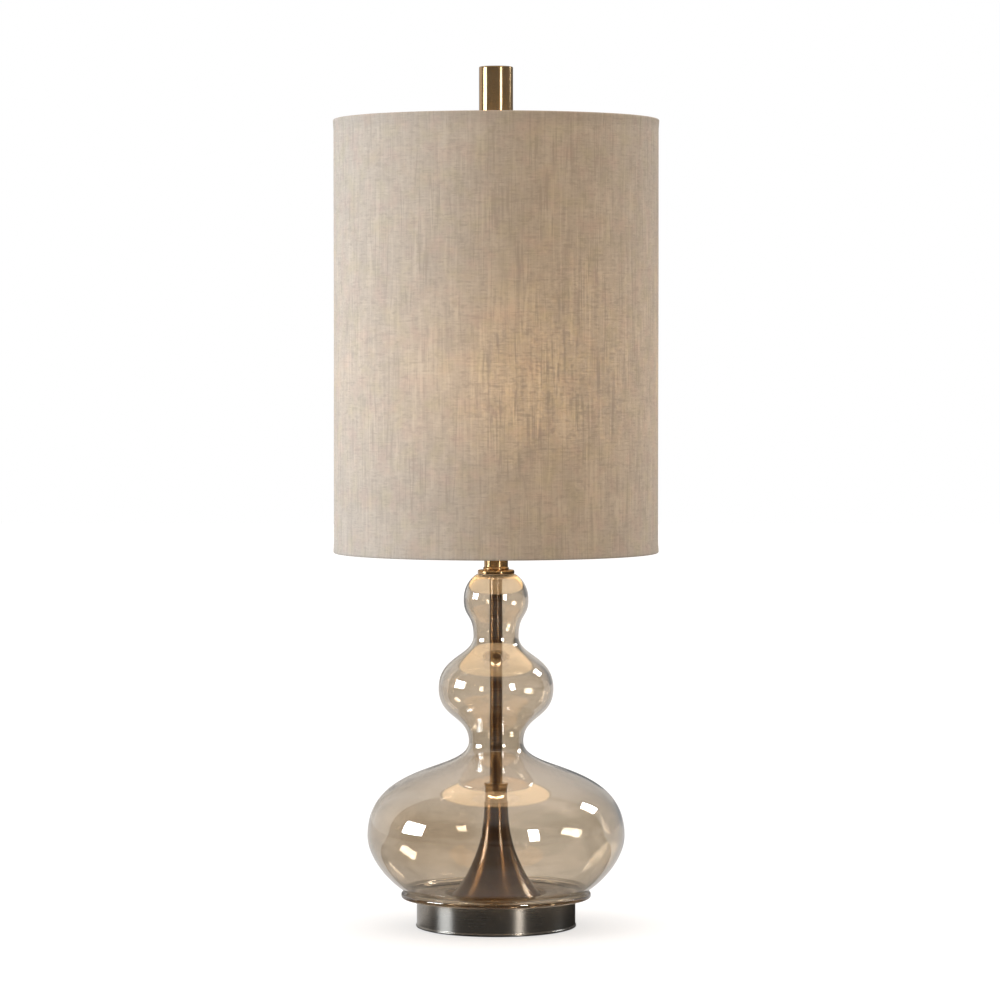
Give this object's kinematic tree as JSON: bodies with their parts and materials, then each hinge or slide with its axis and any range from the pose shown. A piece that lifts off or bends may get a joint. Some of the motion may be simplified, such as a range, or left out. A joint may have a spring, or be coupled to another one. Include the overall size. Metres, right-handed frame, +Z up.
{
  "type": "candlestick table lamp",
  "caption": "Tall table lamp: blown smoke-glass stem of stacked bulbs on a metal foot, linen drum shade held by harp and finial.",
  "frame": {"origin": "centre of the foot's underside, on the table", "axes": "+Z up along the stem, +X along the switch knob, +Y towards the cord inlet at the back"},
  "size_m": [0.3049, 0.305, 0.8065],
  "materials": {
    "smoked_glass": "clear, smoke-amber tint",
    "foot_metal": "brushed, blackened bronze",
    "brushed_brass": "brushed, antique",
    "dark_bronze": "patinated",
    "cast_iron": "as cast, black",
    "zinc_steel": "zinc plated",
    "harp_steel": "nickel plated",
    "holder_brass": "bright",
    "gasket": "translucent silicone, amber",
    "felt": "felt",
    "fibreboard": "pressed fibre",
    "black_plastic": "moulded",
    "brown_phenolic": "moulded",
    "linen": "slubbed weave",
    "shade_lining": "white styrene",
    "opal_glass": "opal",
    "white_plastic": "moulded"
  },
  "bodies": {
    "stand": {"foot_shell": "foot_metal", "cord_bushing": "black_plastic", "base_weight": "cast_iron", "bottom_board": "fibreboard", "felt_pad": "felt", "threaded_rod": "zinc_steel", "foot_washer": "zinc_steel", "foot_nut": "zinc_steel", "neck_nut": "zinc_steel", "seat_gasket": "gasket", "glass_body": "smoked_glass", "horn": "dark_bronze", "horn_collar": "dark_bronze", "centre_tube": "dark_bronze", "neck_gasket": "gasket", "neck_cap": "brushed_brass", "neck_tube": "brushed_brass", "neck_plug": "brushed_brass", "harp_saddle": "harp_steel", "holder_cap": "holder_brass", "set_screw": "zinc_steel", "holder_shell": "holder_brass", "holder_liner": "fibreboard", "holder_core": "brown_phenolic", "terminal_screws": "holder_brass", "screw_shell": "zinc_steel", "centre_contact": "holder_brass"},
    "switch": {"switch_shaft": "holder_brass", "switch_knob": "black_plastic"},
    "bulb": {"bulb_tip": "zinc_steel", "bulb_insulator": "black_plastic", "bulb_base": "zinc_steel", "bulb_globe": "opal_glass", "bulb_emitter": "white_plastic"},
    "harp": {"harp_wire": "harp_steel", "harp_boss": "harp_steel"},
    "ferrule_front_sleeve": {"ferrule_front": "harp_steel"},
    "ferrule_back_sleeve": {"ferrule_back": "harp_steel"},
    "swivel": {"swivel_stud": "harp_steel"},
    "shade": {"shade_fabric": "linen", "shade_liner": "shade_lining", "top_ring": "harp_steel", "bottom_ring": "harp_steel", "spider_hub": "harp_steel", "spider_arms": "harp_steel"},
    "finial": {"finial_shell": "brushed_brass", "finial_plug": "brushed_brass"}
  },
  "joints": [
    {"name": "switch_turn", "type": "hinge", "parent": "stand", "child": "switch", "pos_m": [0.0145, 0, 0.4258], "axis": [1, 0, 0], "continuous": true},
    {"name": "bulb_out", "type": "slide", "parent": "stand", "child": "bulb", "axis": [0, 0, 1], "range_m": [0, 0.03]},
    {"name": "harp_lift", "type": "slide", "parent": "stand", "child": "harp", "axis": [0, 0, 1], "range_m": [0, 0.025]},
    {"name": "ferrule_front_lift", "type": "slide", "parent": "harp", "child": "ferrule_front_sleeve", "axis": [0, 0, 1], "range_m": [0, 0.014]},
    {"name": "ferrule_back_lift", "type": "slide", "parent": "harp", "child": "ferrule_back_sleeve", "axis": [0, 0, 1], "range_m": [0, 0.014]},
    {"name": "shade_swivel", "type": "hinge", "parent": "harp", "child": "swivel", "pos_m": [0, 0, 0.7354], "axis": [0, 0, 1], "continuous": true},
    {"name": "shade_lift", "type": "slide", "parent": "swivel", "child": "shade", "axis": [0, 0, 1], "range_m": [0, 0.42]},
    {"name": "finial_off", "type": "slide", "parent": "shade", "child": "finial", "axis": [0, 0, 1], "range_m": [0, 0.04]}
  ]
}
